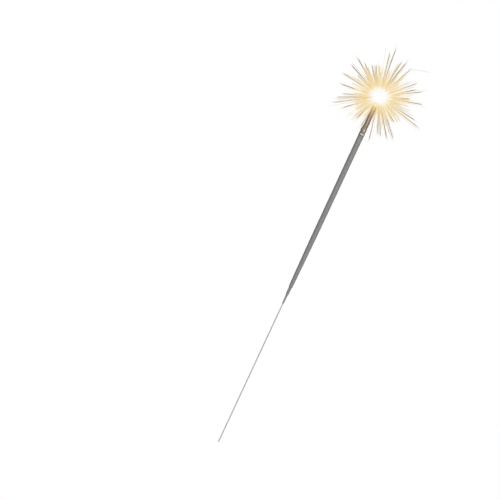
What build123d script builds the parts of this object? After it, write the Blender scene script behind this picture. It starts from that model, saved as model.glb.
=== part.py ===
from build123d import *
import math
import os

# A hand-held sparkler, lit at its tip, in millimetres.
# It stands along +Z, with the origin at the centre of the wire's lower cut end.

# Wire
wire_diameter = 0.8
wire_cut_chamfer = 0.12
handle_length = 100.0
dip_mark_width = 0.8  # a scored ring that shows how deep to dip, filled by the first coat
dip_mark_depth = 0.05
wire_in_bead = 4.0

# Three dips of paste, each dried over the one before, with stepped lower edges
lip_thickness = 0.06
first_dip_wall = 0.32
first_dip_shows = 6.5
second_dip_wall = 0.37
second_dip_shows = 5.5
third_dip_wall = 0.84
third_dip_length = 109.5
shoulder_wall = 0.38  # the third dip is thinner lower down, where the wet paste ran off
shoulder_length = 10.0
drained_wall = 0.65
drained_length = 24.0

# Burning end
collar_length = 6.0
collar_roll_height = 0.1
collar_groove_depth = 0.15
stub_length = 15.5
stub_crust = 0.67  # how far the stub stands out past the second dip
stub_waist_depth = 0.12
bead_rise = 7.0
bead_swell = 0.35
flame_depth = 4.4  # from the bead's widest ring to the flame's surface
flame_runs = 6  # straight runs from the flame's mouth to its crown
bead_clearance = 0.15

# Sparks
spark_sides = 3
spark_root_width = 0.2
spark_width = 0.45
spark_widest_at = 0.88  # share of a trail's length: the burning grain is near its outer end
short_spark_length = 12.5
middle_spark_length = 18.5
long_spark_length = 24.5
spark_length_spread = 7.0
spread_count = 184  # directions spread evenly over the ball
stick_cone = 26.0  # degrees round the stick that no trail enters
rim_spark_length = 27.5
rim_gap = 5.0  # degrees kept clear round each rim trail
rim_depth = 0.45  # below this share of depth a direction counts as in the rim's plane
rim_fan = 16.0  # degrees that a rim trail leans out of that plane at most, forwards or back

# The trails that make the rim, in the plane that faces the viewer.
# Each has its turn from straight up towards +X, in degrees, and its share of the rim's length.
rim_sparks = {
    -173: 0.65, -159: 0.55, -132: 0.69, -123: 0.91, -116: 0.82, -110: 0.67, -96: 0.73, -81: 0.82,
    -66: 0.78, -55: 0.85, -49: 0.67, -38: 0.56, -30: 0.55, -24: 0.51, -11: 0.87, -6: 0.98,
    8: 0.75, 14: 0.82, 24: 0.82, 45: 0.78, 54: 0.69, 59: 0.82, 70: 0.51, 76: 0.84,
    98: 0.82, 102: 1.0, 124: 0.49, 137: 0.85, 146: 0.8, 154: 0.75, 158: 0.69, 169: 0.89,
}

# Radii, each layer on the one inside it
wire_radius = wire_diameter / 2
first_radius = wire_radius + first_dip_wall
second_radius = first_radius + second_dip_wall
shoulder_radius = second_radius + shoulder_wall
drained_radius = second_radius + drained_wall
coat_radius = second_radius + third_dip_wall
roll_radius = coat_radius + collar_roll_height
groove_radius = coat_radius - collar_groove_depth
stub_radius = second_radius + stub_crust
waist_radius = stub_radius - stub_waist_depth
bead_radius = stub_radius + bead_swell
pocket_radius = bead_radius + bead_clearance
flame_radius = bead_radius + flame_depth

# Heights, from the handle's end up
first_z = handle_length
second_z = first_z + first_dip_shows
third_z = second_z + second_dip_shows
shoulder_z = third_z + shoulder_length
drained_z = shoulder_z + drained_length
collar_z = third_z + third_dip_length
groove_z = collar_z + collar_length / 2
front_z = collar_z + collar_length
bead_z = front_z + stub_length
wire_top_z = bead_z + wire_in_bead
flame_z = bead_z + bead_rise

# The scored ring's three corners, shared by the wire and the coat that fills it
dip_mark = [
    (wire_radius, first_z),
    (wire_radius - dip_mark_depth, first_z + dip_mark_width / 2),
    (wire_radius, first_z + dip_mark_width),
]


def turned(*edges):
    """A solid turned about the stick's axis from a closed outline of (radius, height) edges."""
    return revolve(Plane.XZ * make_face(edges), Axis.Z)


def make_wire():
    """The steel core, cut square with a small burr-free chamfer at the handle's end."""
    outline = [
        (0, 0),
        (wire_radius - wire_cut_chamfer, 0),
        (wire_radius, wire_cut_chamfer),
        *dip_mark,
        (wire_radius, wire_top_z),
        (0, wire_top_z),
    ]
    return turned(*Polyline(*outline, close=True).edges())


def make_first_dip():
    """The thin base layer, keyed into the scored ring and tapering up to the second dip's edge."""
    outline = [
        *dip_mark,
        (wire_radius, front_z),
        (first_radius, front_z),
        (first_radius, second_z),
        (wire_radius + lip_thickness, first_z),
    ]
    return turned(*Polyline(*outline, close=True).edges())


def make_second_dip():
    """The middle layer, tapering up to the third dip's edge."""
    outline = [
        (first_radius, second_z),
        (first_radius, front_z),
        (second_radius, front_z),
        (second_radius, third_z),
        (first_radius + lip_thickness, second_z),
    ]
    return turned(*Polyline(*outline, close=True).edges())


def make_third_dip():
    """The outer layer, thickening in three slower and slower tapers from its lower edge to the burn."""
    outline = [
        (second_radius, third_z),
        (second_radius, collar_z),
        (coat_radius, collar_z),
        (drained_radius, drained_z),
        (shoulder_radius, shoulder_z),
        (second_radius + lip_thickness, third_z),
    ]
    return turned(*Polyline(*outline, close=True).edges())


def make_char_collar():
    """The blistered ring at the burn: two rolls with a groove between, closing on the stub."""
    foot = (coat_radius, collar_z)
    groove = (groove_radius, groove_z)
    shoulder = (stub_radius, front_z)
    lower_roll = ThreePointArc(foot, (roll_radius, (collar_z + groove_z) / 2), groove)
    upper_roll = ThreePointArc(groove, (roll_radius, (groove_z + front_z) / 2), shoulder)
    inside = Polyline(shoulder, (second_radius, front_z), (second_radius, collar_z), foot)
    return turned(lower_roll, upper_roll, *inside.edges())


def make_burning_stub():
    """The narrower crust on the wire between the collar and the flame, drawn in at its waist."""
    foot = (stub_radius, front_z)
    head = (stub_radius, bead_z)
    side = ThreePointArc(foot, (waist_radius, (front_z + bead_z) / 2), head)
    inside = Polyline(head, (wire_radius, bead_z), (wire_radius, front_z), foot)
    return turned(side, *inside.edges())


def make_slag_bead():
    """The molten drop on the wire's end: it swells from the stub and closes in a round head."""
    foot = (stub_radius, bead_z)
    widest = (bead_radius, flame_z)
    crown = (0, flame_z + bead_radius)
    side = Line(widest, foot)
    head = RadiusArc(widest, crown, -bead_radius)
    inside = Polyline(crown, (0, wire_top_z), (wire_radius, wire_top_z), (wire_radius, bead_z), foot)
    return turned(side, head, *inside.edges())


def make_flame():
    """The white-hot ball, turned in straight runs, with a pocket from below that holds the bead."""
    mouth = math.asin(pocket_radius / flame_radius)
    turns = [mouth + (math.pi - mouth) * run / flame_runs for run in range(flame_runs)]
    side = [(flame_radius * math.sin(turn), flame_z - flame_radius * math.cos(turn)) for turn in turns]
    pocket_top = flame_z + pocket_radius
    outline = [*side, (0, flame_z + flame_radius), (0, pocket_top), (pocket_radius, pocket_top)]
    return turned(*Polyline(*outline, close=True).edges())


def rim_trail(number, turn, share):
    """A rim trail's direction and length. It leans out of the rim's plane and is longer for it,
    so that its reach as seen from the front stays, and it leans forward where it would meet the stick.
    """
    rise = math.cos(math.radians(turn))
    side = math.sin(math.radians(turn))
    lean = math.radians(rim_fan) * math.cos(number)
    seen = math.cos(lean)
    depth = math.sin(lean)
    lowest = -math.cos(math.radians(stick_cone))
    if rise * seen < lowest:
        seen = lowest / rise
        depth = -math.sqrt(1 - seen**2)
    direction = Vector(side * seen, depth, rise * seen)
    return direction, (flame_radius + rim_spark_length * share) / seen - flame_radius


def spread_directions():
    """Evenly spread directions from the flame's centre, leaving a cone round the stick clear."""
    golden_angle = math.pi * (3 - math.sqrt(5))
    lowest = -math.cos(math.radians(stick_cone))
    for number in range(spread_count):
        rise = 1 - (1 - lowest) * (number + 0.5) / spread_count
        turn = number * golden_angle
        level = math.sqrt(1 - rise**2)
        yield number, Vector(level * math.cos(turn), level * math.sin(turn), rise)


def polygon(corners):
    """A flat face between corners."""
    return Face(Wire.make_polygon(corners))


def ring_corners(plane, height, width):
    """The corners of a regular polygon above a plane, in order round it."""
    turns = [2 * math.pi * side / spark_sides for side in range(spark_sides)]
    corners = [(width / 2 * math.cos(turn), width / 2 * math.sin(turn)) for turn in turns]
    return [plane.from_local_coords((x, y, height)) for x, y in corners]


def make_spark(direction, length):
    """One flying grain's trail: a slim flat-sided needle that widens from the flame to its outer end."""
    skin = Plane(Vector(0, 0, flame_z) + direction * flame_radius, z_dir=direction)
    root = ring_corners(skin, 0, spark_root_width)
    belly = ring_corners(skin, spark_widest_at * length, spark_width)
    tip = skin.from_local_coords((0, 0, length))
    faces = [polygon(root)]
    for corner in range(spark_sides):
        faces.append(polygon([root[corner - 1], root[corner], belly[corner], belly[corner - 1]]))
        faces.append(polygon([belly[corner - 1], belly[corner], tip]))
    return Solid(Shell(faces))


def make_sparks():
    """All the trails, sorted by reach. The rim's come first, and the others keep clear of them."""
    reaches = {
        "long_sparks": long_spark_length,
        "middle_sparks": middle_spark_length,
        "short_sparks": short_spark_length,
    }
    order = ["long_sparks", "short_sparks", "middle_sparks", "short_sparks", "middle_sparks", "short_sparks"]
    groups = {name: [] for name in reaches}
    rim = [rim_trail(number, *trail) for number, trail in enumerate(rim_sparks.items())]
    for direction, length in rim:
        groups["long_sparks"].append(make_spark(direction, length))
    for number, direction in spread_directions():
        if min(direction.get_angle(other) for other, length in rim) > rim_gap:
            name = order[number % len(order)]
            if name == "long_sparks" and abs(direction.Y) < rim_depth:
                name = "middle_sparks"
            scatter = number * math.sqrt(2) % 1
            length = reaches[name] - spark_length_spread * scatter
            groups[name].append(make_spark(direction, length))
    return {name: Compound(children=trails) for name, trails in groups.items()}


pieces = {
    "wire": make_wire(),
    "first_dip": make_first_dip(),
    "second_dip": make_second_dip(),
    "third_dip": make_third_dip(),
    "char_collar": make_char_collar(),
    "burning_stub": make_burning_stub(),
    "slag_bead": make_slag_bead(),
    "flame": make_flame(),
    **make_sparks(),
}

os.makedirs("parts", exist_ok=True)
for name, piece in pieces.items():
    export_step(piece, f"parts/{name}.step")
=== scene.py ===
# %% [markdown]
# # A lit sparkler, finished over its CAD frame
# A sparkler is a steel wire that was dipped three times in grey paste and dried. The one built here is
# burning: below the flame the coat is charred, and golden sparks fly from a white core. The CAD frame gives
# every piece its place and size. Blender adds what a CAD solid leaves out: the grit of the paste, the
# blisters of the char, the ragged flame, and the fine lines of light.

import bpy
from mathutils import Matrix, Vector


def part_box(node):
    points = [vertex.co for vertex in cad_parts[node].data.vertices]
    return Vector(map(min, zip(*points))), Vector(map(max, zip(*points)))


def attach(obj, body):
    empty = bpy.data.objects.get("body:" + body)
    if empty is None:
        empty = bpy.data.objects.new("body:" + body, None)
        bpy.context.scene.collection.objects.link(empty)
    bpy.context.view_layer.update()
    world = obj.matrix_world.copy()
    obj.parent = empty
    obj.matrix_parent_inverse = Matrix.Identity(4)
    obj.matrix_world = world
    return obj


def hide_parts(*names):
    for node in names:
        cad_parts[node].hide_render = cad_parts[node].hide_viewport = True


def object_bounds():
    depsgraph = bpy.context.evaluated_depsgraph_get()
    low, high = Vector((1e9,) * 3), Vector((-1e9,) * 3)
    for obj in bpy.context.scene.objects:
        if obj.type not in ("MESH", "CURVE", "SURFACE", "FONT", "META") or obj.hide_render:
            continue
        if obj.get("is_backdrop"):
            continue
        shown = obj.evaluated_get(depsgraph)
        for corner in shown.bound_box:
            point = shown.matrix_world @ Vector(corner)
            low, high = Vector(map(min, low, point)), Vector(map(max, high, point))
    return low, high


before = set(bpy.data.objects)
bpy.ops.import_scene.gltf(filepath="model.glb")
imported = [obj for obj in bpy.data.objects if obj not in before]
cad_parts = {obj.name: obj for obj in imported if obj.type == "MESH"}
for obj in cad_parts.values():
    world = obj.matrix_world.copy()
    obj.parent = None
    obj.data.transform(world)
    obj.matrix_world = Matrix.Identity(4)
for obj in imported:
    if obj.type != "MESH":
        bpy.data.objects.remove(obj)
cad_low, cad_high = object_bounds()
print("frame nodes:", sorted(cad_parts))

# %% Tools and the unit
import math
import random

import bmesh
import bpy
from mathutils import Matrix, Vector

mm = 0.001
scene = bpy.context.scene
scene.view_settings.view_transform = "Standard"
print("Blender", bpy.app.version_string, "measures in metres, so a millimetre is", mm)

# %% [markdown]
# ## Camera
# The photograph was taken from straight in front with a long lens, so that nothing looks nearer than the
# rest. The stick leans to the right in the picture. It could be tilted in the scene, but the frame stands
# upright, so the camera is rolled instead. One pixel of the picture is a fixed length at the stick, and
# with it the wire's cut end and the flame land where the photograph has them.

# %% Camera
picture_side = 500
pixel = 0.6567 * mm
lean = math.radians(24.98)
wire_end_x, wire_end_y = 218.42, 441.8
lens, sensor = 200, 36

right = Vector((math.cos(lean), 0, math.sin(lean)))
up = Vector((-math.sin(lean), 0, math.cos(lean)))
back = Vector((0, -1, 0))
middle = right * (picture_side / 2 - wire_end_x) * pixel + up * (wire_end_y - picture_side / 2) * pixel
distance = lens / sensor * picture_side * pixel

bpy.ops.object.camera_add()
camera = bpy.context.object
camera.data.lens = lens
camera.data.sensor_width = sensor
turn = Matrix((right, up, back)).transposed().to_4x4()
camera.matrix_world = Matrix.Translation(middle + back * distance) @ turn
scene.camera = camera
print(f"camera {distance:.3f} m in front of the stick")

# %% [markdown]
# ## Writing shader maths as Python
# A material is a graph of small nodes. Joining dozens of them by hand is hard to read, so one class wraps a
# socket: plus, minus, times and divide then add the Math node they stand for, and `node` adds any other
# kind. A node's settings are set first, because some of them change which sockets it has.

# %% A socket that can be used in expressions
class Shade:
    """One output socket of a node tree, usable in expressions."""

    def __init__(self, tree, socket=None):
        self.tree = tree
        self.socket = socket

    def node(self, kind, settings=None, inputs=None, output=0):
        """Adds a node, with its settings first and then the values or links of its sockets."""
        made = self.tree.nodes.new(kind)
        for name, setting in (settings or {}).items():
            if name == "stops":
                set_stops(made.color_ramp, setting)
            else:
                setattr(made, name, setting)
        for name, given in (inputs or {}).items():
            if isinstance(given, Shade):
                self.tree.links.new(given.socket, made.inputs[name])
            else:
                made.inputs[name].default_value = given
        return Shade(self.tree, made.outputs[output] if made.outputs else None)

    def math(self, operation, first, second):
        return self.node("ShaderNodeMath", {"operation": operation}, {0: first, 1: second})

    def __add__(self, other):
        return self.math("ADD", self, other)

    def __radd__(self, other):
        return self.math("ADD", other, self)

    def __sub__(self, other):
        return self.math("SUBTRACT", self, other)

    def __rsub__(self, other):
        return self.math("SUBTRACT", other, self)

    def __mul__(self, other):
        return self.math("MULTIPLY", self, other)

    def __rmul__(self, other):
        return self.math("MULTIPLY", other, self)

    def __truediv__(self, other):
        return self.math("DIVIDE", self, other)


def set_stops(ramp, stops):
    """Gives a colour ramp its stops, each a place from 0 to 1 and a colour."""
    while len(ramp.elements) < len(stops):
        ramp.elements.new(1)
    for element, (place, colour) in zip(ramp.elements, stops):
        element.position = place
        element.color = (*colour, 1)


print("shader sockets can be added, subtracted, multiplied and divided")

# %% [markdown]
# ## White room
# The picture's background is pure white, yet the stick is lit at a plain level. Both are possible because a
# node can ask what kind of ray arrives: a ray from the camera, or one that was mirrored or bent on its way,
# sees white, and a ray that only gathers light for the stick sees a dimmer room.

# %% World
room_light = 0.12


def seen_directly(start):
    """1 for rays that show the background, and 0 for rays that only carry light."""
    camera_ray = start.node("ShaderNodeLightPath", output="Is Camera Ray")
    glossy_ray = start.node("ShaderNodeLightPath", output="Is Glossy Ray")
    through_ray = start.node("ShaderNodeLightPath", output="Is Transmission Ray")
    either = start.math("MAXIMUM", camera_ray, glossy_ray)
    return start.math("MAXIMUM", either, through_ray)


world = bpy.data.worlds.new("white_room")
world.use_nodes = True
scene.world = world
world.node_tree.nodes.clear()
sky = Shade(world.node_tree)
sky_strength = room_light + (1 - room_light) * seen_directly(sky)
glow = sky.node("ShaderNodeBackground", inputs={"Color": (1, 1, 1, 1), "Strength": sky_strength})
sky.node("ShaderNodeOutputWorld", inputs={"Surface": glow})
print("world: white to the camera,", room_light, "to the stick")

# %% [markdown]
# ## Lamps
# An even room would leave the grey stick flat, like paper. One sun in front, a little to the right, makes
# its round side visible, and one behind lights its edge. Area lamps would do too, but a sun is as strong at
# the handle as at the flame, and a wide angle keeps its shadows soft.

# %% Lamps
lamp_softness = math.radians(24)


def add_sun(name, strength, height, side):
    """A soft sun, with its height above the floor and its turn from the front to the right in degrees."""
    bpy.ops.object.light_add(type="SUN")
    sun = bpy.context.object
    sun.name = name
    sun.data.energy = strength
    sun.data.angle = lamp_softness
    level = math.cos(math.radians(height))
    rise = math.sin(math.radians(height))
    turn = math.radians(side)
    towards = Vector((math.sin(turn) * level, -math.cos(turn) * level, rise))
    sun.rotation_mode = "QUATERNION"
    sun.rotation_quaternion = towards.to_track_quat("Z", "Y")
    return strength / math.pi * rise


floor_lit = room_light
floor_lit += add_sun("key_light", strength=3.2, height=32, side=12)
floor_lit += add_sun("back_light", strength=2.0, height=35, side=180)
print(f"lamps: the floor gets {floor_lit:.2f} of the light that would make white paper white")

# %% [markdown]
# ## Floor
# A plain plane is all the ground there is. To the camera it has to be as white as the room, so it adds what
# its own lit grey lacks as emission, by the same question about rays. The lit part still takes a shadow.

# %% Floor
floor_side = 8
floor_grey = 0.22
floor_white = 1.01

bpy.ops.object.select_all(action="DESELECT")
bpy.ops.mesh.primitive_plane_add(size=floor_side)
floor = bpy.context.object
floor.name = "floor"
floor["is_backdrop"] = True

floor_finish = bpy.data.materials.new("white_floor")
floor_finish.use_nodes = True
floor_finish.node_tree.nodes.clear()
ground = Shade(floor_finish.node_tree)
lit_part = floor_grey * floor_lit
plain = ground.node("ShaderNodeBsdfDiffuse", inputs={"Color": (floor_grey,) * 3 + (1,)})
lifted = ground.node(
    "ShaderNodeEmission",
    inputs={"Color": (1, 1, 1, 1), "Strength": (floor_white - lit_part) * seen_directly(ground)},
)
both = ground.node("ShaderNodeAddShader", inputs={0: plain, 1: lifted})
ground.node("ShaderNodeOutputMaterial", inputs={"Surface": both})
floor.data.materials.append(floor_finish)
print(f"floor: {lit_part:.2f} of its white comes from the lights")

# %% [markdown]
# ## Finishes
# Every finish has a new material, a point in the piece's own space to work its pattern out from, and a
# Principled shader at the end. Small helpers keep the recipes short: `cloud` is a noise of a given grain
# size in metres, `step` gives it a soft edge, `blend` goes from one colour to another, and `bumps` makes
# relief.

# %% Helpers for finishes
def new_finish(name):
    """A material and the point of the surface that its pattern is worked out from."""
    finish = bpy.data.materials.new(name)
    finish.use_nodes = True
    finish.node_tree.nodes.clear()
    start = Shade(finish.node_tree)
    return finish, start.node("ShaderNodeTexCoord", output="Object")


def surface(point, **sockets):
    """Ends a material in a Principled shader. Socket names are written with _ for a space."""
    inputs = {name.replace("_", " "): given for name, given in sockets.items()}
    shader = point.node("ShaderNodeBsdfPrincipled", inputs=inputs)
    point.node("ShaderNodeOutputMaterial", inputs={"Surface": shader})


def cloud(point, grain, detail=2.0):
    """A soft noise from 0 to 1, whose blobs are about one grain wide."""
    return point.node("ShaderNodeTexNoise", inputs={"Vector": point, "Scale": 1 / grain, "Detail": detail})


def step(value, low, high):
    """0 on the low side, 1 on the high side, and a smooth rise between. Low may be the larger number."""
    return value.node(
        "ShaderNodeMapRange",
        {"interpolation_type": "SMOOTHSTEP"},
        {"Value": value, "From Min": low, "From Max": high},
    )


def blend(share, first, second):
    """A colour between two, by a share from 0 to 1."""
    def as_colour(given):
        return given if isinstance(given, Shade) else (*given, 1)

    inputs = {0: share, 6: as_colour(first), 7: as_colour(second)}
    return share.node("ShaderNodeMix", {"data_type": "RGBA"}, inputs, output=2)


def height(point):
    """How far up the stick a point is, in metres."""
    return point.node("ShaderNodeSeparateXYZ", inputs={0: point}, output="Z")


def bumps(relief, depth):
    """A normal for a shader from a relief of 0 to 1 that is a given depth in metres."""
    return relief.node("ShaderNodeBump", inputs={"Strength": 1.0, "Distance": depth, "Height": relief})


print("finish helpers ready")

# %% [markdown]
# ## Steel wire
# The core is plain drawn wire. Its CAD solid is already the right shape, straight and round with a
# chamfered cut end, so it stays as it is and only gets a finish. Drawing wire through a die leaves fine
# lines along it: a noise that is stretched far along the wire gives those, as grey and as relief. A second,
# slower noise stands for patches that have gone dull, and changes the gloss.

# %% Wire finish
line_width, line_stretch, line_depth = 0.09 * mm, 0.02, 0.01 * mm
patch_size = 5 * mm
dark_steel, bright_steel = (0.27, 0.27, 0.275), (0.46, 0.46, 0.455)
dull_steel = (0.3, 0.288, 0.272)

steel_wire, wire_point = new_finish("steel_wire")
drawn = wire_point.node("ShaderNodeMapping", inputs={"Vector": wire_point, "Scale": (1, 1, line_stretch)})
die_lines = cloud(drawn, line_width, detail=3.0)
dull_patches = cloud(wire_point, patch_size)
steel_grey = blend(step(die_lines, 0.3, 0.7), dark_steel, bright_steel)
surface(
    wire_point,
    Base_Color=blend(step(dull_patches, 0.5, 0.75) * 0.5, steel_grey, dull_steel),
    Metallic=1.0,
    Roughness=0.34 + 0.22 * dull_patches,
    Normal=bumps(die_lines, line_depth),
)
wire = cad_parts["wire"]
wire.data.materials.clear()
wire.data.materials.append(steel_wire)
print("wire:", len(wire.data.polygons), "faces kept from the frame")

# %% [markdown]
# ## Modelling turned pieces
# The dips, the collar and the stub are all round about the wire, as if turned on a lathe. Spin could make
# them from a drawn profile. Here a circle is extruded ring by ring along its outline instead, as one would
# do by hand, because each ring can then be scaled on its own, and the last ring is merged with the first.

# %% Turning
merge_gap = 0.0005 * mm


def clear_selection():
    """Leaves edit mode and deselects every object."""
    if bpy.context.mode != "OBJECT":
        bpy.ops.object.mode_set(mode="OBJECT")
    bpy.ops.object.select_all(action="DESELECT")


def pull_rim(rim, next_rim):
    """Extrudes a selected rim from one (radius, height) to the next."""
    rise = next_rim[1] - rim[1]
    bpy.ops.mesh.extrude_region_move(TRANSFORM_OT_translate={"value": (0, 0, rise)})
    grow = next_rim[0] / rim[0]
    bpy.ops.transform.resize(value=(grow, grow, 1), center_override=(0, 0, next_rim[1]))


def turned(name, outline, sides):
    """A circle extruded along a closed outline of (radius, height) points. It is left in edit mode."""
    clear_selection()
    radius, level = outline[0]
    bpy.ops.mesh.primitive_circle_add(vertices=sides, radius=radius, location=(0, 0, level))
    piece = bpy.context.object
    piece.name = name
    bpy.ops.object.transform_apply(location=True, rotation=True, scale=True)
    bpy.ops.object.mode_set(mode="EDIT")
    bpy.ops.mesh.select_all(action="SELECT")
    for ring, next_ring in zip(outline, [*outline[1:], outline[0]]):
        pull_rim(ring, next_ring)
    bpy.ops.mesh.select_all(action="SELECT")
    bpy.ops.mesh.remove_doubles(threshold=merge_gap)
    bpy.ops.mesh.normals_make_consistent(inside=False)
    return piece


print("outlines can be turned")

# %% [markdown]
# ## From a turned wall to a rough skin
# A plain wall has no points to push about, so the walls that show are first subdivided into rows. A
# Displace modifier then pushes their points in and out by a cloud texture. Sculpting would do as well, but
# a texture is as fine at one end of the stick as at the other. A vertex group holds the outer skin only, so
# that the bore keeps its fit on what is inside it.

# %% Dividing walls
ring_gap = 4 * merge_gap


def on_ring(point, ring):
    """Whether a point lies on a ring of (radius, height)."""
    return abs(point.xy.length - ring[0]) < ring_gap and abs(point.z - ring[1]) < ring_gap


def divide(piece, low, high, rows):
    """Cuts the wall between two rings of an outline into rows of faces, in edit mode."""
    bpy.ops.mesh.select_mode(type="EDGE")
    bpy.ops.mesh.select_all(action="DESELECT")
    mesh = bmesh.from_edit_mesh(piece.data)
    for edge in mesh.edges:
        lower, upper = sorted((corner.co for corner in edge.verts), key=lambda place: place.z)
        if on_ring(lower, low) and on_ring(upper, high):
            edge.select_set(True)
    bmesh.update_edit_mesh(piece.data)
    bpy.ops.mesh.subdivide(number_cuts=rows - 1)


def divide_walls(piece, outline, row_height):
    """Divides each run of an outer wall into rows of about one height."""
    for low, high in zip(outline, outline[1:]):
        rows = round((high[1] - low[1]) / row_height)
        if rows > 1:
            divide(piece, low, high, rows)


print("walls can be divided into rows")

# %% Roughening a skin
skin_gap = 0.03 * mm


def mark_skin(piece, bore):
    """Groups the points that stand outside the bore, so that only they are pushed about."""
    clear_selection()
    group = piece.vertex_groups.new(name="skin")
    outside = [point.index for point in piece.data.vertices if point.co.xy.length > bore + skin_gap]
    group.add(outside, 1.0, "REPLACE")


def roughen(piece, name, grain, depth):
    """Pushes a piece's skin in and out by a cloud texture, by up to half a depth each way."""
    lumps = bpy.data.textures.new(name, type="CLOUDS")
    lumps.noise_scale = grain
    lumps.noise_depth = 1
    bpy.context.view_layer.objects.active = piece
    push = piece.modifiers.new(name, "DISPLACE")
    push.texture = lumps
    push.texture_coords = "LOCAL"
    push.strength = depth
    push.vertex_group = "skin"
    bpy.ops.object.modifier_apply(modifier=push.name)


print("skins can be roughened")

# %% Finishing a piece
smooth_angle = math.radians(50)


def finish_piece(piece, finish, node):
    """Smooths a piece, gives it its finish, and puts it in its node's place."""
    clear_selection()
    piece.select_set(True)
    bpy.context.view_layer.objects.active = piece
    bpy.ops.object.shade_smooth_by_angle(angle=smooth_angle)
    piece.data.materials.clear()
    piece.data.materials.append(finish)
    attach(piece, "root")
    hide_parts(node)
    low, high = (Vector(corner) for corner in (piece.bound_box[0], piece.bound_box[6]))
    print(piece.name, len(piece.data.polygons), "faces,", [round(side / mm, 2) for side in high - low], "mm")


print("pieces can take their nodes' places")

# %% [markdown]
# ## Spark paste
# The paste is iron and aluminium grains in a dried binder: a dull, slightly rough grey, with pits where
# air was caught, darkened with painted shade, and a few grains that glint. Four patterns do this, each at
# the size of what it stands for: three noises, and a cell pattern for the grains. The grains are real
# metal, so the shader turns metallic where they show.

# %% Paste finish
mottle_size, grit_size, pit_size, grain_size = 1.6 * mm, 0.22 * mm, 0.4 * mm, 0.3 * mm
grit_depth = 0.04 * mm
dark_paste, pale_paste = (0.22, 0.219, 0.214), (0.255, 0.253, 0.247)
# The middle colour is the painted shade in the pits.
grit_grey, pit_shade_grey, glint_grey = (0.3, 0.298, 0.29), (0.12, 0.118, 0.115), (0.28, 0.277, 0.27)

spark_paste, paste_point = new_finish("spark_paste")
mottle = cloud(paste_point, mottle_size)
grit = cloud(paste_point, grit_size, detail=3.0)
pits = step(cloud(paste_point, pit_size), 0.36, 0.28)
grains = paste_point.node(
    "ShaderNodeTexVoronoi",
    inputs={"Vector": paste_point, "Scale": 1 / grain_size},
    output="Color",
)
grain_draw = paste_point.node("ShaderNodeSeparateColor", inputs={0: grains}, output="Red")
glints = step(grain_draw, 0.96, 0.98)
dry_grey = blend(mottle, dark_paste, pale_paste)
gritty_grey = blend(step(grit, 0.35, 0.65) * 0.4, dry_grey, grit_grey)
# Painted shade darkens the paste in the pits.
pit_shaded_grey = blend(pits * 0.3, gritty_grey, pit_shade_grey)
surface(
    paste_point,
    Base_Color=blend(glints, pit_shaded_grey, glint_grey),
    Metallic=glints,
    Roughness=0.82 - 0.4 * glints,
    Specular_IOR_Level=0.1,
    Normal=bumps(grit - 0.6 * pits, grit_depth),
)
print("paste finish ready")

# %% [markdown]
# ## Three dips
# Each dip was stopped a little higher than the one before, so the coat starts in three small steps, and the
# outer one is thinner at the bottom, where the wet paste ran off. The outlines follow the frame's radii and
# heights. Two displacements then make them look dipped and not turned: slow swells, and fine grit.

# %% Sizes from the frame
sides = 56
row = 0.21 * mm
lip = 0.06 * mm


def radius_of(node):
    """The outer radius of a node that is round about the wire."""
    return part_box(node)[1].y


wire_radius = radius_of("wire")
first_radius = radius_of("first_dip")
second_radius = radius_of("second_dip")
coat_radius = radius_of("third_dip")
first_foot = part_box("first_dip")[0].z
second_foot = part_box("second_dip")[0].z
third_foot, coat_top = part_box("third_dip")[0].z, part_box("third_dip")[1].z
burn_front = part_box("char_collar")[1].z
print("coat from", round(first_foot / mm, 1), "to", round(coat_top / mm, 1), "mm")

# %% First and second dip
hidden_rise = 3 * mm
lip_rise = 0.35 * mm
lip_share = 0.55
swell_size, swell_depth = 2.4 * mm, 0.14 * mm
lump_size, lump_depth = 0.4 * mm, 0.06 * mm


def lip_ring(bore, outer, foot):
    """The ring just above a dip's lower edge, where the paste rounds over."""
    return bore + lip_share * (outer - bore), foot + lip_rise


def dip(name, node, wall, bore, top):
    """A sleeve with a gritty wall, that goes on out of sight under the next dip."""
    foot = wall[0][1]
    outer = wall[-1][0]
    piece = turned(name, [*wall, (outer, top), (bore, top), (bore, foot)], sides)
    divide_walls(piece, wall, row)
    mark_skin(piece, bore)
    roughen(piece, name + "_swell", swell_size, swell_depth)
    roughen(piece, name + "_grit", lump_size, lump_depth)
    finish_piece(piece, spark_paste, node)


first_wall = [
    (wire_radius + lip, first_foot),
    lip_ring(wire_radius, first_radius, first_foot),
    (first_radius, second_foot),
    (first_radius, second_foot + hidden_rise),
]
second_wall = [
    (first_radius + lip, second_foot),
    lip_ring(first_radius, second_radius, second_foot),
    (second_radius, third_foot),
    (second_radius, third_foot + hidden_rise),
]
dip("base_coat", "first_dip", first_wall, wire_radius, burn_front)
dip("middle_coat", "second_dip", second_wall, first_radius, burn_front)

# %% Third dip
shoulder_radius, shoulder_rise = 1.47 * mm, 10 * mm
drained_radius, drained_rise = 1.74 * mm, 34 * mm
tuck = 0.4 * mm

third_wall = [
    (second_radius + lip, third_foot),
    lip_ring(second_radius, shoulder_radius, third_foot),
    (shoulder_radius, third_foot + shoulder_rise),
    (drained_radius, third_foot + drained_rise),
    (coat_radius, coat_top - tuck),
]
dip("outer_coat", "third_dip", third_wall, second_radius, coat_top)
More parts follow.
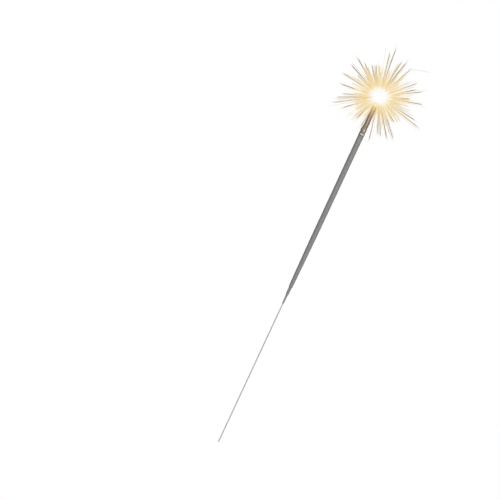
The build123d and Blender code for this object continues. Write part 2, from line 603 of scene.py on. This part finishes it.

# %% [markdown]
# ## Char collar
# Just below the flame the coat has begun to burn. It swells and cracks into two rolls with a groove
# between, and pale painted highlights lie just below their crests. The rolls are extruded ring by ring,
# each scaled to a sine curve. The painted highlights belong to heights on the stick, so the finish reads
# the height. They are patchy too, so the finish also reads the angle round the wire, which the arctangent
# of x and y gives, and breaks both up with noise.

# %% Char finish
roll_radius = radius_of("char_collar")
groove_depth = 0.15 * mm
groove_radius = coat_radius - groove_depth
groove_level = (coat_top + burn_front) / 2
# Heights and widths of the pale rings that paint highlights on the rolls.
lower_highlight_level = (coat_top + groove_level) / 2 - 0.4 * mm
upper_highlight_level = (groove_level + burn_front) / 2 - 0.65 * mm
lower_highlight_width, upper_highlight_width = 0.5 * mm, 0.8 * mm
highlight_count, highlight_turn, highlight_wander = 3, math.radians(10), 1.5
blister_size, blister_depth = 0.55 * mm, 0.12 * mm
# The last colour is the painted highlight on the rolls.
dark_char, pale_char, highlight_white = (0.14, 0.123, 0.1), (0.3, 0.274, 0.232), (0.8, 0.77, 0.7)

char, char_point = new_finish("char")
char_level = height(char_point)
blisters = cloud(char_point, blister_size, detail=3.0)


def crest(level, place, half_width):
    """1 at one height on the stick, fading to 0 half a width away on both sides."""
    return step(level.math("ABSOLUTE", level - place, 0), half_width, 0.2 * half_width)


def ripple(point, count, start, wander):
    """A wave round the wire with a number of crests, the first at an angle from the front."""
    across = point.node("ShaderNodeSeparateXYZ", inputs={0: point}, output="X")
    forward = point.node("ShaderNodeSeparateXYZ", inputs={0: point}, output="Y")
    angle = across.math("ARCTAN2", across, -1 * forward)
    return angle.math("COSINE", count * (angle - start) + wander, 0)


# Pale patches in two rings paint highlights on the rolls.
highlight_patches = ripple(char_point, highlight_count, highlight_turn, highlight_wander * (blisters - 0.5))
lower_highlight = crest(char_level, lower_highlight_level, lower_highlight_width) * step(highlight_patches, -0.9, 0.0)
upper_highlight = crest(char_level, upper_highlight_level, upper_highlight_width) * step(highlight_patches, 0.2, 0.9)
painted_highlight = (lower_highlight + upper_highlight) * step(blisters, 0.25, 0.5)
scorched = blend(step(blisters, 0.3, 0.7), dark_char, pale_char)
surface(
    char_point,
    Base_Color=blend(painted_highlight, scorched, highlight_white),
    Roughness=0.75 - 0.2 * painted_highlight,
    Specular_IOR_Level=0.2,
    Normal=bumps(blisters, blister_depth),
)
print("ash lies at", round(lower_highlight_level / mm, 2), "and", round(upper_highlight_level / mm, 2), "mm")

# %% Char collar
rings_per_roll = 9
collar_row = 0.14 * mm
roll_swell_size, roll_swell_depth = 0.9 * mm, 0.22 * mm
roll_grit_size, roll_grit_depth = 0.35 * mm, 0.1 * mm


def roll(start, end, crest_radius):
    """Rings of (radius, height) over one swollen roll, without the last one."""
    rings = []
    for number in range(rings_per_roll):
        share = number / rings_per_roll
        base = start[0] + (end[0] - start[0]) * share
        swell = (crest_radius - (start[0] + end[0]) / 2) * math.sin(math.pi * share)
        rings.append((base + swell, start[1] + (end[1] - start[1]) * share))
    return rings


stub_radius = radius_of("burning_stub")
collar_wall = roll((coat_radius, coat_top), (groove_radius, groove_level), roll_radius)
collar_wall += roll((groove_radius, groove_level), (stub_radius, burn_front), roll_radius)
collar_wall.append((stub_radius, burn_front))
collar = turned("burnt_rolls", [*collar_wall, (second_radius, burn_front), (second_radius, coat_top)], sides)
divide_walls(collar, collar_wall, collar_row)
mark_skin(collar, second_radius)
roughen(collar, "roll_blisters", roll_swell_size, roll_swell_depth)
roughen(collar, "roll_grit", roll_grit_size, roll_grit_depth)
finish_piece(collar, char, "char_collar")

# %% [markdown]
# ## Burning stub
# Above the collar the paste has burnt away to a brown crust on the wire, drawn in at its waist and thicker
# on one side. Pale streaks run along it that paint the highlights of a glossy crust, and it glows more and
# more towards the flame. The painted highlight streaks are a wave in the angle round the wire, like the
# painted highlights on the collar. The glow could come from a lamp inside the flame, but light from the
# crust itself keeps its colour in any scene: Emission Color is a ramp over height. The thick side is a
# push along x, weighted so that it fades out at both ends and the stub still meets its neighbours.

# %% Hot crust finish
bead_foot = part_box("slag_bead")[0].z
# Pale streaks round the wire paint the crust's highlights.
highlight_streak_count = 5
flake_size, flake_depth = 0.7 * mm, 0.1 * mm
# The last colour is that of the painted highlight streaks.
dark_crust, pale_crust, highlight_streak_colour = (0.125, 0.098, 0.078), (0.215, 0.172, 0.142), (0.33, 0.272, 0.225)
glow_stops = [
    (0.0, (0.0, 0.0, 0.0)),
    (0.2, (0.0, 0.0, 0.0)),
    (0.5, (0.065, 0.04, 0.004)),
    (0.75, (0.25, 0.165, 0.04)),
    (1.0, (0.5, 0.37, 0.14)),
]

hot_crust, crust_point = new_finish("hot_crust")
crust_level = height(crust_point)
flakes = cloud(crust_point, flake_size, detail=3.0)
# A wave round the wire places the pale streaks that paint the crust's highlights.
highlight_streak_wave = ripple(crust_point, highlight_streak_count, 0, flakes - 0.5)
highlight_streaks = step(highlight_streak_wave, 0.1, 0.9)
brown = blend(flakes, dark_crust, pale_crust)
towards_flame = (crust_level - burn_front) / (bead_foot - burn_front)
crust_glow = crust_point.node(
    "ShaderNodeValToRGB", {"stops": glow_stops}, {"Fac": towards_flame + 0.12 * (flakes - 0.5)}
)
surface(
    crust_point,
    Base_Color=blend(highlight_streaks, brown, highlight_streak_colour),
    Roughness=0.45 + 0.3 * flakes,
    Specular_IOR_Level=0.2,
    Normal=bumps(flakes, flake_depth),
    Emission_Color=crust_glow,
    Emission_Strength=1.0,
)
print("crust glows from", round(burn_front / mm, 1), "to", round(bead_foot / mm, 1), "mm")

# %% Waisted stub
waist_depth = 0.12 * mm
waist_rings = 8
stub_row = 0.18 * mm

stub_wall = []
for number in range(waist_rings + 1):
    share = number / waist_rings
    ring_radius = stub_radius - waist_depth * math.sin(math.pi * share)
    stub_wall.append((ring_radius, burn_front + (bead_foot - burn_front) * share))
stub = turned("hot_stub", [*stub_wall, (wire_radius, bead_foot), (wire_radius, burn_front)], sides)
divide_walls(stub, stub_wall, stub_row)
mark_skin(stub, wire_radius)
print("stub:", round((bead_foot - burn_front) / mm, 1), "mm long, with", len(stub_wall), "rings")

# %% Thick side and flakes
ease_length, thick_side = 2 * mm, 0.17 * mm
crust_swell_size, crust_swell_depth = 1.6 * mm, 0.22 * mm
crust_flake_size, crust_flake_depth = 0.5 * mm, 0.12 * mm

heavy_side = stub.vertex_groups.new(name="heavy_side")
for point in stub.data.vertices:
    if point.co.xy.length > wire_radius + skin_gap:
        ease = min(point.co.z - burn_front, bead_foot - point.co.z) / ease_length
        heavy_side.add([point.index], min(1.0, ease), "REPLACE")
bpy.context.view_layer.objects.active = stub
lopsided = stub.modifiers.new("lopsided", "DISPLACE")
lopsided.direction = "X"
lopsided.mid_level = 0
lopsided.strength = thick_side
lopsided.vertex_group = "heavy_side"
bpy.ops.object.modifier_apply(modifier=lopsided.name)
roughen(stub, "crust_swell", crust_swell_size, crust_swell_depth)
roughen(stub, "crust_flakes", crust_flake_size, crust_flake_depth)
finish_piece(stub, hot_crust, "burning_stub")

# %% [markdown]
# ## Slag bead
# What is left of the burnt paste gathers as a molten drop on the wire's end. Surface tension makes it round
# above and a neck below, so it starts as a sphere: the cap below the neck is cut off with bisect, and the
# open rim is extruded down to the stub, folded in to the wire and up to the wire's end, where a flat cap
# closes it. The rim is measured after the cut, because a ball of flat faces is a little smaller there than
# a true ball.

# %% Bead finish
slag_size, slag_depth = 0.8 * mm, 0.1 * mm
dark_slag, pale_slag = (0.12, 0.07, 0.03), (0.3, 0.2, 0.1)
dim_glow, bright_glow = (0.7, 0.52, 0.28), (0.82, 0.68, 0.44)

molten_slag, slag_point = new_finish("molten_slag")
slag_skin = cloud(slag_point, slag_size, detail=3.0)
surface(
    slag_point,
    Base_Color=blend(step(slag_skin, 0.35, 0.65), dark_slag, pale_slag),
    Roughness=0.3 + 0.3 * slag_skin,
    Normal=bumps(slag_skin, slag_depth),
    Emission_Color=blend(step(slag_skin, 0.35, 0.65), dim_glow, bright_glow),
    Emission_Strength=1.0,
)
print("bead finish ready")

# %% Cutting and closing rims
def cut_below(level):
    """Takes away what is below a height, in edit mode, and leaves the open rim selected."""
    bpy.ops.mesh.select_all(action="SELECT")
    bpy.ops.mesh.bisect(plane_co=(0, 0, level), plane_no=(0, 0, 1), clear_inner=True)


def measure_rim(piece):
    """The middle and the mean radius of a selected rim, in edit mode."""
    rim = [corner.co.copy() for corner in bmesh.from_edit_mesh(piece.data).verts if corner.select]
    middle = sum(rim, Vector()) / len(rim)
    return middle, sum((corner - middle).length for corner in rim) / len(rim)


def close_rim(rim):
    """Closes a selected rim with a flat cap: it is extruded in place and merged to one point."""
    pull_rim(rim, rim)
    bpy.ops.mesh.merge(type="CENTER")


print("pieces can be cut open and closed again")

# %% Slag bead
bead_radius = radius_of("slag_bead")
bead_centre = Vector((0, 0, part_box("slag_bead")[1].z - bead_radius))
wire_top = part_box("wire")[1].z
drop_segments, drop_rings = 40, 24
neck_drop = 0.35 * bead_radius
neck_rows = 18
drop_swell_size, drop_swell_depth = 1.8 * mm, 0.2 * mm

clear_selection()
bpy.ops.mesh.primitive_uv_sphere_add(
    segments=drop_segments, ring_count=drop_rings, radius=bead_radius, location=bead_centre
)
bead = bpy.context.object
bead.name = "molten_drop"
bpy.ops.object.transform_apply(location=True, rotation=True, scale=True)
bpy.ops.object.mode_set(mode="EDIT")
cut_below(bead_centre.z - neck_drop)
neck_middle, neck_radius = measure_rim(bead)
neck = (neck_radius, neck_middle.z)
bead_rings = [neck, (stub_radius, bead_foot), (wire_radius, bead_foot), (wire_radius, wire_top)]
for ring, next_ring in zip(bead_rings, bead_rings[1:]):
    pull_rim(ring, next_ring)
close_rim((wire_radius, wire_top))
divide(bead, (stub_radius, bead_foot), neck, neck_rows)
bpy.ops.mesh.select_all(action="SELECT")
bpy.ops.mesh.normals_make_consistent(inside=False)
mark_skin(bead, wire_radius)
roughen(bead, "drop_swell", drop_swell_size, drop_swell_depth)
finish_piece(bead, molten_slag, "slag_bead")

# %% [markdown]
# ## Flame
# The flame is so bright that the picture shows it as a white ball, a little wider than high, with a ragged
# edge. It starts as a ball that is flattened along the picture's up direction and cut open at the bottom
# while it is still smooth, because a cut through ragged tongues would leave loose scraps. A smooth ball
# would look like a lamp, so its faces are then poked: each gets a point in its middle, pushed outwards by a
# different amount, which gives more than a thousand short tongues. Last, the mouth's rim is moved to the
# stick's axis and pulled up into a pocket that leaves room for the bead. Light casts no shadow, so the
# flame casts none. The colour is a ramp over the distance from the middle, white inside and gold at the
# longest tips.

# %% Flame finish
burst = bead_centre
flame_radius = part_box("flame")[1].z - burst.z
flame_shape = (1.12, 1.0, 0.88)


def from_burst(point):
    """How far a point is from the middle of the burst, in metres, if the flattened flame were a ball."""
    rounded = point.node(
        "ShaderNodeMapping",
        {"vector_type": "TEXTURE"},
        {"Vector": point, "Location": burst, "Rotation": (0, -lean, 0), "Scale": flame_shape},
    )
    return point.node("ShaderNodeVectorMath", {"operation": "LENGTH"}, {0: rounded}, output="Value")


def heat(point, stops):
    """A colour ramp over the distance from the burst, with stops in metres."""
    first, last = stops[0][0], stops[-1][0]
    places = [((far - first) / (last - first), colour) for far, colour in stops]
    return point.node(
        "ShaderNodeValToRGB", {"stops": places}, {"Fac": (from_burst(point) - first) / (last - first)}
    )


flame_light, flame_point = new_finish("flame_light")
flame_heat = heat(flame_point, [
    (5.6 * mm, (1.0, 1.0, 1.0)),
    (6.8 * mm, (1.0, 0.99, 0.95)),
    (7.5 * mm, (1.0, 0.95, 0.78)),
    (8.5 * mm, (0.98, 0.84, 0.5)),
])
surface(
    flame_point,
    Base_Color=(0, 0, 0, 1),
    Roughness=1.0,
    Specular_IOR_Level=0.0,
    Emission_Color=flame_heat,
    Emission_Strength=1.0,
)
print("flame radius:", round(flame_radius / mm, 2), "mm")

# %% Flame ball with a mouth
ball_cuts = 4
core_radius = 0.85 * flame_radius
mouth_drop = 0.73 * core_radius

clear_selection()
bpy.ops.mesh.primitive_ico_sphere_add(subdivisions=ball_cuts, radius=core_radius, location=burst)
flame = bpy.context.object
flame.name = "flame_ball"
bpy.ops.object.transform_apply(location=True, rotation=True, scale=True)
bpy.ops.object.mode_set(mode="EDIT")
bpy.ops.mesh.select_all(action="SELECT")
bpy.ops.transform.rotate(value=lean, orient_axis="Y", center_override=burst)
bpy.ops.transform.resize(value=flame_shape, center_override=burst)
bpy.ops.transform.rotate(value=-lean, orient_axis="Y", center_override=burst)
cut_below(burst.z - mouth_drop)
mouth_middle, mouth_radius = measure_rim(flame)
print(f"mouth radius: {mouth_radius / mm:.2f} mm, {mouth_middle.x / mm:.2f} mm to the right of the stick")

# %% Tongues
tongue = 1.0 * mm
tongue_spread, tongue_seed = 1.2 * mm, 4
most_tip_faces = 4

bpy.ops.mesh.select_all(action="SELECT")
bpy.ops.mesh.poke(offset=tongue)
bpy.ops.mesh.select_mode(type="VERT")
bpy.ops.mesh.select_all(action="DESELECT")
flame_mesh = bmesh.from_edit_mesh(flame.data)
for corner in flame_mesh.verts:
    if not corner.is_boundary and len(corner.link_faces) <= most_tip_faces:
        corner.select_set(True)
bmesh.update_edit_mesh(flame.data)
bpy.ops.transform.vertex_random(offset=tongue_spread, uniform=0, normal=1, seed=tongue_seed)
print("tongues:", sum(corner.select for corner in flame_mesh.verts))

# %% Pocket for the bead
bead_room = 0.4 * mm
pocket_radius = bead_radius + bead_room
pocket_top = bead_centre.z + pocket_radius
mouth_rise = 0.3 * mm

bpy.ops.mesh.select_mode(type="EDGE")
bpy.ops.mesh.select_all(action="DESELECT")
bpy.ops.mesh.select_non_manifold(
    use_wire=False, use_multi_face=False, use_non_contiguous=False, use_verts=False
)
to_axis = Vector((-mouth_middle.x, -mouth_middle.y, mouth_rise))
bpy.ops.mesh.extrude_region_move(TRANSFORM_OT_translate={"value": to_axis})
narrow = pocket_radius / mouth_radius
pocket_level = mouth_middle.z + mouth_rise
bpy.ops.transform.resize(value=(narrow, narrow, 1), center_override=(0, 0, pocket_level))
pull_rim((pocket_radius, pocket_level), (pocket_radius, pocket_top))
close_rim((pocket_radius, pocket_top))
bpy.ops.mesh.select_all(action="SELECT")
bpy.ops.mesh.normals_make_consistent(inside=False)
finish_piece(flame, flame_light, "flame")
flame.visible_shadow = False

# %% [markdown]
# ## Plan of the sparks
# The longest sparks make the rim of the burst, and the eye knows it by them: pairs that fly side by side,
# and gaps between. These are listed, each with its turn from straight up and its share of the
# longest reach. Each leans a little to the front or the back, because a flat rim would look like a disc
# from the side. A spiral with the golden angle spreads the rest evenly over the ball, because it leaves no
# rows or poles. None flies in the cone round the stick: a rim spark that would leans farther towards the
# camera.

# %% Rim sparks
rim_length = 27.5 * mm
rim_sparks = {
    -173: 0.65, -159: 0.55, -132: 0.69, -123: 0.91, -116: 0.82, -110: 0.67, -96: 0.73, -81: 0.82,
    -66: 0.78, -55: 0.85, -49: 0.67, -38: 0.56, -30: 0.55, -24: 0.51, -11: 0.87, -6: 0.98,
    8: 0.75, 14: 0.82, 24: 0.82, 45: 0.78, 54: 0.69, 59: 0.82, 70: 0.51, 76: 0.84,
    98: 0.82, 102: 1.0, 124: 0.49, 137: 0.85, 146: 0.8, 154: 0.75, 158: 0.69, 169: 0.89,
}
stick_cone = math.radians(26)
lowest = -math.cos(stick_cone)
rim_fan = math.radians(16)


def rim_trail(number, turn, share):
    """The direction and reach of a rim spark, which leans a little to the front or the back."""
    side, rise = math.sin(math.radians(turn)), math.cos(math.radians(turn))
    out = rim_fan * math.cos(number)
    seen, depth = math.cos(out), math.sin(out)
    if rise * seen < lowest:
        seen = lowest / rise
        depth = -math.sqrt(1 - seen**2)
    way = Vector((side * seen, depth, rise * seen))
    return way, (flame_radius + rim_length * share) / seen


rim = [rim_trail(number, *trail) for number, trail in enumerate(rim_sparks.items())]
print("rim sparks:", len(rim), "that reach up to", round(max(reach for way, reach in rim) / mm, 1), "mm")

# %% Plan of the sparks
spread_count = 184
spark_lengths = {"long_sparks": 24.5 * mm, "middle_sparks": 18.5 * mm, "short_sparks": 12.5 * mm}
length_spread = 7 * mm
spark_order = ["long_sparks"] + ["short_sparks", "middle_sparks"] * 2 + ["short_sparks"]
rim_gap = math.radians(5)
rim_depth = 0.45


def spread(count, bottom):
    """Evenly spread directions, from straight up down to a lowest rise."""
    golden_angle = math.pi * (3 - math.sqrt(5))
    for number in range(count):
        rise = 1 - (1 - bottom) * (number + 0.5) / count
        level = math.sqrt(1 - rise**2)
        turn = number * golden_angle
        yield number, Vector((level * math.cos(turn), level * math.sin(turn), rise))


plan = {name: [] for name in spark_lengths}
plan["long_sparks"] += rim
for number, way in spread(spread_count, lowest):
    if max(way.dot(other) for other, reach in rim) < math.cos(rim_gap):
        name = spark_order[number % len(spark_order)]
        if name == "long_sparks" and abs(way.y) < rim_depth:
            name = "middle_sparks"
        scatter = number * math.sqrt(2) % 1
        plan[name].append((way, flame_radius + spark_lengths[name] - length_spread * scatter))
print("sparks:", {name: len(sparks) for name, sparks in plan.items()})

# %% [markdown]
# ## Sparks
# Each spark is a burning grain that leaves a straight line of light behind it. The line is faint where it
# starts and strongest near the grain, so one needle is modelled that widens slowly along its length and
# ends in a short point, and it is copied, turned and stretched for every spark. Curves with a bevel would
# do as well, but a needle of a dozen faces stays light when there are hundreds of them. Sparks that fly
# straight towards the camera, or end in front of the stub, are kept slim, so that the white core and the
# stub show.

# %% One needle
needle_sides = 4
needle_rings = [(0.45, 0.0), (0.72, 0.44), (1.0, 0.88), (0.05, 1.0)]

clear_selection()
bpy.ops.mesh.primitive_circle_add(vertices=needle_sides, radius=needle_rings[0][0], fill_type="NGON")
needle = bpy.context.object
needle.name = "needle"
bpy.ops.object.mode_set(mode="EDIT")
bpy.ops.mesh.select_all(action="SELECT")
for ring, next_ring in zip(needle_rings, needle_rings[1:]):
    pull_rim(ring, next_ring)
bpy.ops.mesh.merge(type="CENTER")
bpy.ops.mesh.select_all(action="SELECT")
bpy.ops.mesh.normals_make_consistent(inside=False)
clear_selection()
print("needle:", len(needle.data.polygons), "faces")

# %% Placing needles
slim_share = 0.35
window = math.cos(math.radians(38))


def in_window(way):
    """Whether a spark flies straight enough towards the camera to hide the core."""
    return -way.y > window


def before_stub(way, reach):
    """Whether a spark flies forward and ends in front of the stub, as the camera sees it."""
    return way.y < 0 and way.z < 0 and abs(way.x) * reach < stub_radius


def place_needle(way, start, reach, width):
    """A copy of the needle with its own mesh, along a direction from the burst's middle."""
    spark = needle.copy()
    spark.data = needle.data.copy()
    scene.collection.objects.link(spark)
    slim = in_window(way) or before_stub(way, reach)
    radius = width / 2 * (slim_share if slim else 1)
    size = Vector((radius, radius, reach - start))
    spark.matrix_world = Matrix.LocRotScale(burst + way * start, way.to_track_quat("Z", "Y"), size)
    return spark


def gather(name, needles, finish, node):
    """Joins the needles of one reach into a piece."""
    clear_selection()
    for spark in needles:
        spark.select_set(True)
    bpy.context.view_layer.objects.active = needles[0]
    bpy.ops.object.join()
    piece = bpy.context.object
    piece.name = name
    bpy.ops.object.transform_apply(location=True, rotation=True, scale=True)
    finish_piece(piece, finish, node)
    piece.visible_shadow = False
    print(name, "holds", len(needles), "needles")


print("sparks can be placed and gathered")

# %% [markdown]
# ## Light of the sparks
# Near the flame the sparks are pale gold, then deeper gold, and the far ends of the rim cool to a greyish
# brown. All of this follows the distance from the flame, so a colour ramp does it. Sparks out of the rim's
# plane are younger and stay gold. The base is black and the colour is in the emission alone at a strength
# of 1, so that a spark shows the colour that is written here.

# %% Finish of the sparks
draw_grain = 0.05


def spark_finish(name, stops, dim_stops, dim_share, young_stops=None):
    """Light that changes with the distance from the burst, and a little from needle to needle."""
    finish, point = new_finish(name)
    way = point.node("ShaderNodeVectorMath", {"operation": "SUBTRACT"}, {0: point, 1: burst})
    way = point.node("ShaderNodeVectorMath", {"operation": "NORMALIZE"}, {0: way})
    colour = heat(point, stops)
    if young_stops:
        depth = point.node("ShaderNodeSeparateXYZ", inputs={0: way}, output="Y")
        depth = depth.math("ABSOLUTE", depth, 0)
        colour = blend(step(depth, 0.95 * rim_depth, rim_depth), colour, heat(point, young_stops))
    draw = cloud(way, draw_grain, detail=0.0)
    surface(
        point,
        Base_Color=(0, 0, 0, 1),
        Roughness=1.0,
        Specular_IOR_Level=0.0,
        Emission_Color=blend(step(draw, 0.5, 0.65) * dim_share, colour, heat(point, dim_stops)),
        Emission_Strength=1.0,
    )
    return finish


gold = [
    (5 * mm, (1.0, 1.0, 0.99)),
    (6.8 * mm, (1.0, 0.985, 0.93)),
    (8.4 * mm, (0.97, 0.81, 0.49)),
    (11 * mm, (0.96, 0.765, 0.41)),
    (16 * mm, (0.95, 0.765, 0.41)),
    (22 * mm, (0.88, 0.71, 0.41)),
    (30 * mm, (0.8, 0.68, 0.42)),
]
amber = [
    (8 * mm, (0.76, 0.55, 0.27)),
    (13 * mm, (0.62, 0.43, 0.19)),
    (20 * mm, (0.45, 0.335, 0.19)),
]
near_light = spark_finish("near_spark_light", gold, amber, dim_share=0.7)
print("spark light from", round(gold[0][0] / mm, 1), "to", round(gold[-1][0] / mm, 1), "mm from the burst")

# %% [markdown]
# ## Near sparks
# Between the sparks of the plan the burst is full of finer ones, too thin and too many to count: a haze
# close to the flame, long wisps, and a fringe behind each rim spark. They make the soft gold between the
# lines. They come closer to the stick than the others do, but those that would hide the stub fly behind it,
# and straight towards the camera fly only short ones. A seeded random generator scatters them, so each run
# gives the same ones.

# %% Short sparks
chance = random.Random(11)
short_width = (0.22 * mm, 0.3 * mm)

near_needles = []
for way, reach in plan["short_sparks"]:
    near_needles.append(place_needle(way, core_radius, reach, chance.uniform(*short_width)))
print("short sparks:", len(near_needles))

# %% Haze
haze_count, haze_shake, haze_width = 560, 0.05, (0.13 * mm, 0.3 * mm)
haze_reach, haze_extra, haze_lean = 9 * mm, 14 * mm, 1.2
haze_bottom = -math.cos(math.radians(15))
window_reach = 7.4 * mm
stub_rise, stub_share = -0.5, 0.15


def shaken(way, shake):
    """A direction that is turned a little to a random side, and to the back if it would hide the stub."""
    way = (way + Vector([chance.gauss(0, shake) for axis in range(3)])).normalized()
    if way.z < stub_rise and abs(way.x) < stub_share:
        way.y = abs(way.y)
    return way


for number, way in spread(haze_count, haze_bottom):
    way = shaken(way, haze_shake)
    reach = haze_reach + haze_extra * chance.random() ** haze_lean
    width = chance.uniform(*haze_width)
    near_needles.append(place_needle(way, core_radius, window_reach if in_window(way) else reach, width))
print("short sparks and haze:", len(near_needles))

# %% Wisps and fringe
wisp_count, wisp_reach, wisp_width = 200, (16 * mm, 26 * mm), (0.12 * mm, 0.28 * mm)
fringe_count, fringe_shake, fringe_width = 5, 0.03, (0.12 * mm, 0.24 * mm)
fringe_share = (0.8, 1.12)
fringe_back = Vector((0, 0.07, 0))

for number, way in spread(wisp_count, haze_bottom):
    way = shaken(way, haze_shake)
    reach = chance.uniform(*wisp_reach)
    width = chance.uniform(*wisp_width)
    if not in_window(way):
        near_needles.append(place_needle(way, core_radius, reach, width))
for way, reach in rim * fringe_count:
    beside = shaken(way + fringe_back, fringe_shake)
    width = chance.uniform(*fringe_width)
    reach *= chance.uniform(*fringe_share)
    near_needles.append(place_needle(beside, core_radius, reach, width))
gather("near_trails", near_needles, near_light, "short_sparks")

# %% [markdown]
# ## Middle and far sparks
# The sparks of half reach share the gold light. Those of the rim have flown longest and are cooler, so they
# get a ramp of their own, which goes on to a greyish brown, and they are the widest, because the eye
# follows them one by one.

# %% Middle sparks
middle_width = (0.32 * mm, 0.42 * mm)
middle_needles = []
for way, reach in plan["middle_sparks"]:
    middle_needles.append(place_needle(way, flame_radius, reach, chance.uniform(*middle_width)))
gather("middle_trails", middle_needles, near_light, "middle_sparks")

# %% Far sparks
far_width = (0.42 * mm, 0.52 * mm)
burnt_out = [
    (6 * mm, (1.0, 0.95, 0.75)),
    (10 * mm, (0.9, 0.62, 0.22)),
    (14 * mm, (0.58, 0.4, 0.2)),
    (18 * mm, (0.34, 0.26, 0.18)),
    (33 * mm, (0.25, 0.21, 0.18)),
]
far_light = spark_finish("far_spark_light", burnt_out, amber, dim_share=0.5, young_stops=gold)
far_needles = []
for way, reach in plan["long_sparks"]:
    far_needles.append(place_needle(way, flame_radius, reach, chance.uniform(*far_width)))
print("far sparks:", len(far_needles), "needles, of which", len(rim), "make the rim")

# %% [markdown]
# ## A stray spark
# At the end of one rim trail the grain has burst, and a splinter of it drifts off in a shallow wave. A
# needle is straight, so this trail is an extrusion of its own: a tiny square that is pulled from point to
# point. The points are listed, in millimetres to the right of the burst's middle and above it.

# %% A stray spark
stray_width = 0.13 * mm
stray_path = [(11.7, 25.4), (15.1, 26.7), (18.6, 27.7), (21.9, 28.5), (25.0, 29.6)]
parent_turn = 24
parent_way, parent_reach = rim[list(rim_sparks).index(parent_turn)]

clear_selection()
stray_start = burst + Vector((0, parent_way.y * parent_reach, 0))
stray_places = [stray_start + Vector((side, 0, rise)) * mm for side, rise in stray_path]
stray_way = stray_places[1] - stray_places[0]
bpy.ops.mesh.primitive_circle_add(
    vertices=needle_sides,
    radius=stray_width / 2,
    fill_type="NGON",
    location=stray_places[0],
    rotation=stray_way.to_track_quat("Z", "Y").to_euler(),
)
stray = bpy.context.object
bpy.ops.object.transform_apply(location=True, rotation=True, scale=True)
bpy.ops.object.mode_set(mode="EDIT")
bpy.ops.mesh.select_all(action="SELECT")
for place, next_place in zip(stray_places, stray_places[1:]):
    bpy.ops.mesh.extrude_region_move(TRANSFORM_OT_translate={"value": next_place - place})
bpy.ops.mesh.merge(type="CENTER")
bpy.ops.mesh.select_all(action="SELECT")
bpy.ops.mesh.normals_make_consistent(inside=False)
clear_selection()
far_needles.append(stray)
gather("far_trails", far_needles, far_light, "long_sparks")
bpy.data.objects.remove(needle)

# %% [markdown]
# ## Size
# The finished model keeps to the frame's box, and only fine trails pass it, by a few millimetres. Both
# boxes are printed, one after the other.

# %% Boxes
seen_low, seen_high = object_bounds()
boxes = {"cad": [list(cad_low), list(cad_high)], "visual": [list(seen_low), list(seen_high)]}
for name, (low, high) in boxes.items():
    print(name, [round(end / mm, 1) for end in low], [round(end / mm, 1) for end in high], "mm")
